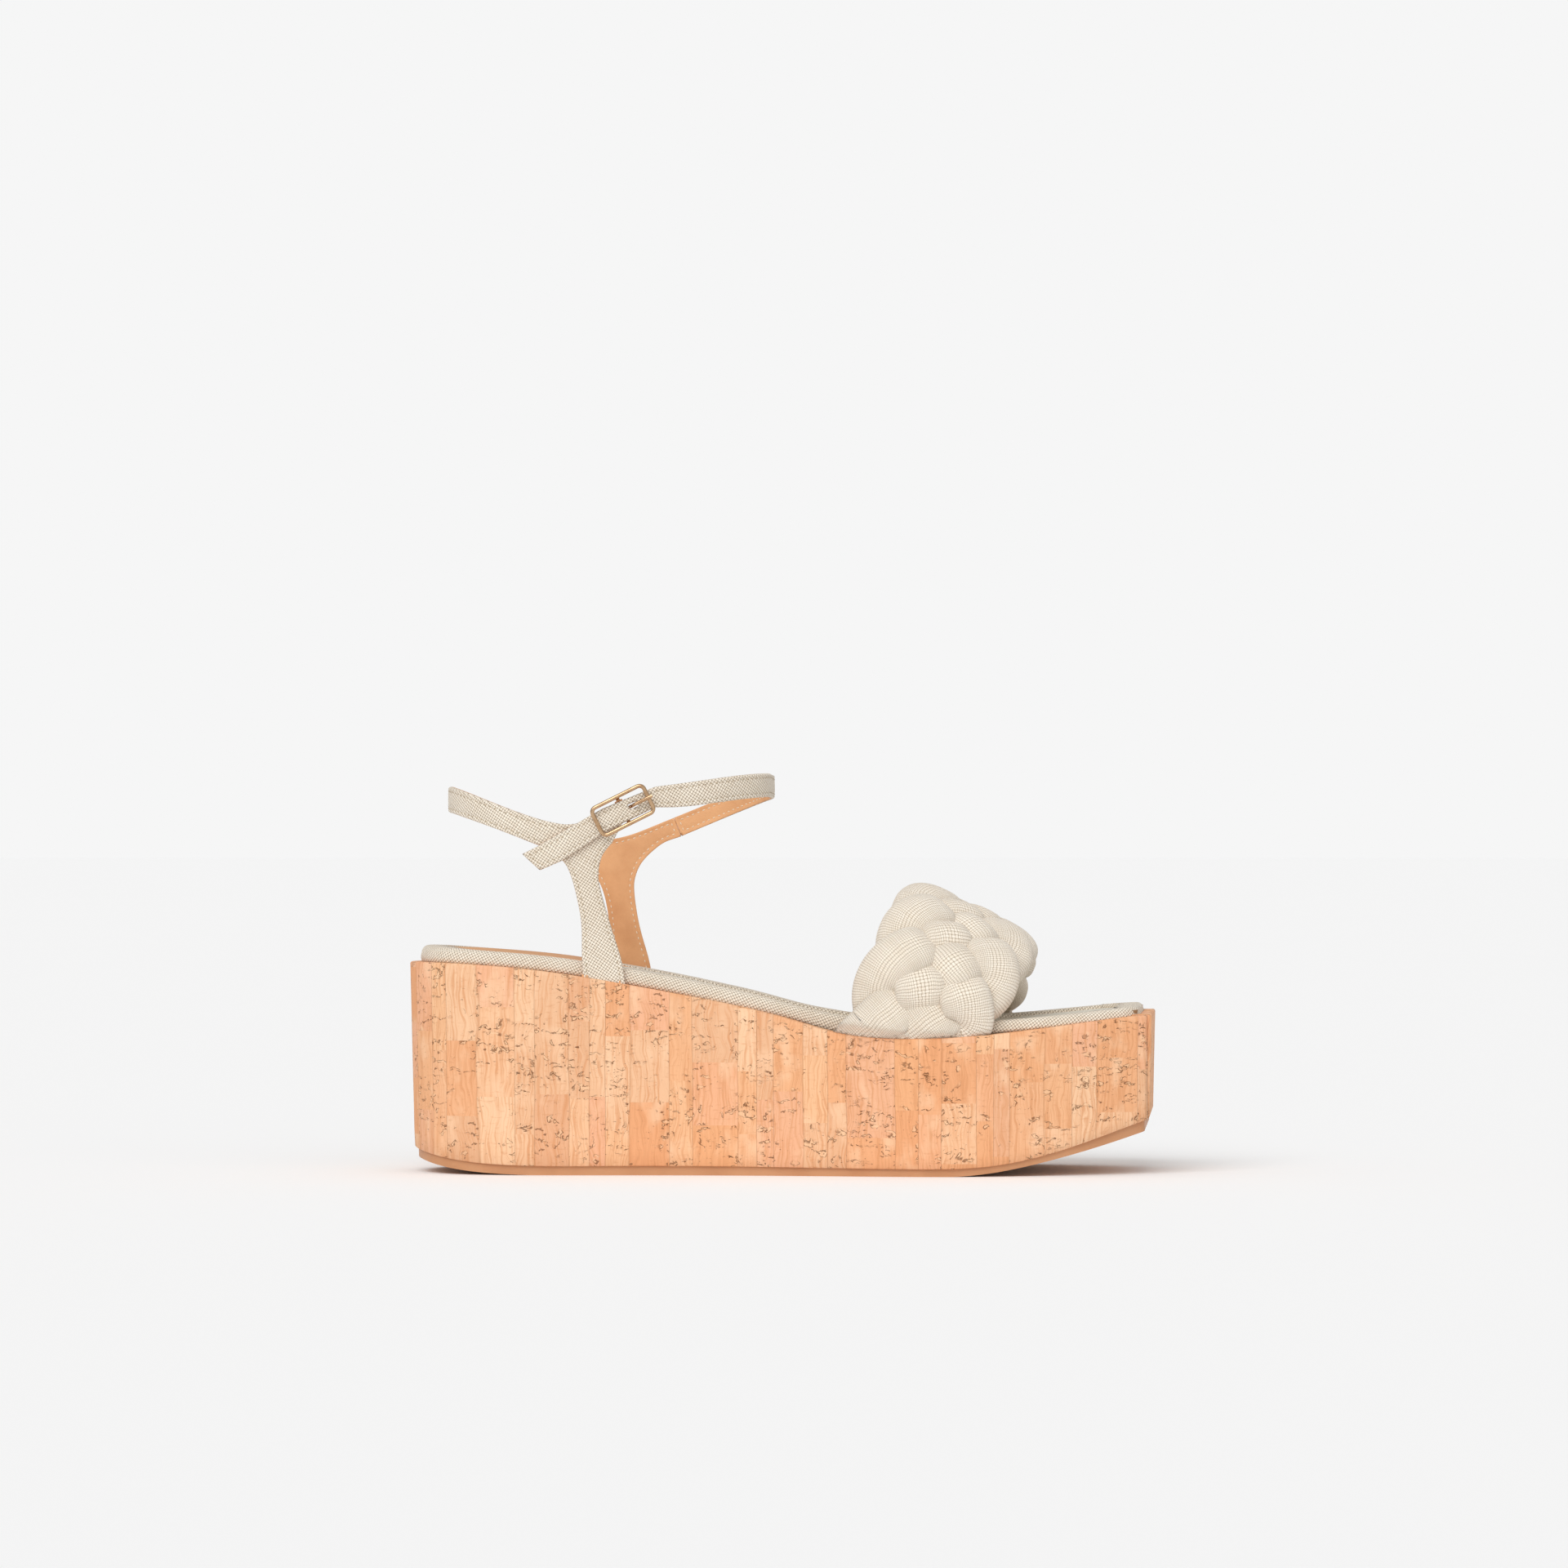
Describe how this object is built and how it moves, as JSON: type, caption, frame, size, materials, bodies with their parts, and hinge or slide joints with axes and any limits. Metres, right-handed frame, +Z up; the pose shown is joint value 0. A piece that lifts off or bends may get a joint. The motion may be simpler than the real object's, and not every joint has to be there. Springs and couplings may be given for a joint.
{
  "type": "wedge sandal",
  "caption": "Right-foot platform wedge sandal: cork-wrapped wedge, padded linen footbed, plaited linen vamp and a buckled linen ankle strap on a heel strap",
  "frame": {"origin": "on the ground under the middle of the sole", "axes": "+X to the toe, +Z up, -Y the outer side of the foot, where the buckle is"},
  "size_m": [0.2605, 0.0928, 0.1381],
  "materials": {
    "outsole": "smooth moulded tan rubber, slightly worn edge",
    "wedge_foam": "cut foam block",
    "cork": "natural cork sheet in upright strips, matt",
    "linen": "plain-weave linen, light beige grey",
    "sock_leather": "smooth tan leather",
    "lining_leather": "smooth tan lining leather",
    "board": "pressed fibre board",
    "footbed_foam": "soft open-cell foam",
    "tape": "woven reinforcing tape",
    "buckle_metal": "satin champagne plated"
  },
  "bodies": {
    "sole": {"outsole": "outsole", "wedge_core": "wedge_foam", "cork_wrap_outer_side": "cork", "cork_wrap_inner_side": "cork", "cork_toe_panel": "cork", "footbed_cover": "linen", "lasting_filler": "wedge_foam", "insole_board": "board", "footbed_foam": "footbed_foam", "sock_liner": "sock_leather", "outer_quarter_margin": "linen", "inner_quarter_margin": "linen", "vamp_lining": "linen", "braid_strand_1": "linen", "braid_strand_2": "linen", "braid_strand_3": "linen", "braid_strand_4": "linen", "braid_strand_5": "linen"},
    "collar": {"outer_quarter_linen": "linen", "outer_quarter_lining": "lining_leather", "outer_quarter_tape": "tape", "inner_quarter_linen": "linen", "inner_quarter_lining": "lining_leather", "inner_quarter_tape": "tape", "ankle_strap_linen": "linen", "ankle_strap_lining": "lining_leather", "ankle_strap_tape": "tape", "buckle_chape": "lining_leather"},
    "tail": {"strap_tail_linen": "linen", "strap_tail_lining": "lining_leather"},
    "buckle": {"buckle_frame": "buckle_metal"},
    "prong": {"buckle_prong": "buckle_metal"}
  },
  "joints": [
    {"name": "collar_fold", "type": "hinge", "parent": "sole", "child": "collar", "pos_m": [-0.063, -0.0328, 0.0749], "axis": [0.121, 0.9924, -0.0212], "range_deg": [-12, 15], "stiffness_Nm_per_rad": 0.5},
    {"name": "tail_flap", "type": "hinge", "parent": "collar", "child": "tail", "pos_m": [-0.06511, -0.0357, 0.11999], "axis": [-0.4478, 0, 0.8942], "range_deg": [0, 40], "stiffness_Nm_per_rad": 0.01},
    {"name": "buckle_tilt", "type": "hinge", "parent": "collar", "child": "buckle", "pos_m": [-0.0555, -0.0328, 0.1248], "axis": [0.4478, 0, -0.8942], "range_deg": [-2.5, 2.5]},
    {"name": "prong_lift", "type": "hinge", "parent": "buckle", "child": "prong", "pos_m": [-0.0555, -0.0328, 0.1248], "axis": [0.4478, 0, -0.8942], "range_deg": [0, 8]}
  ]
}
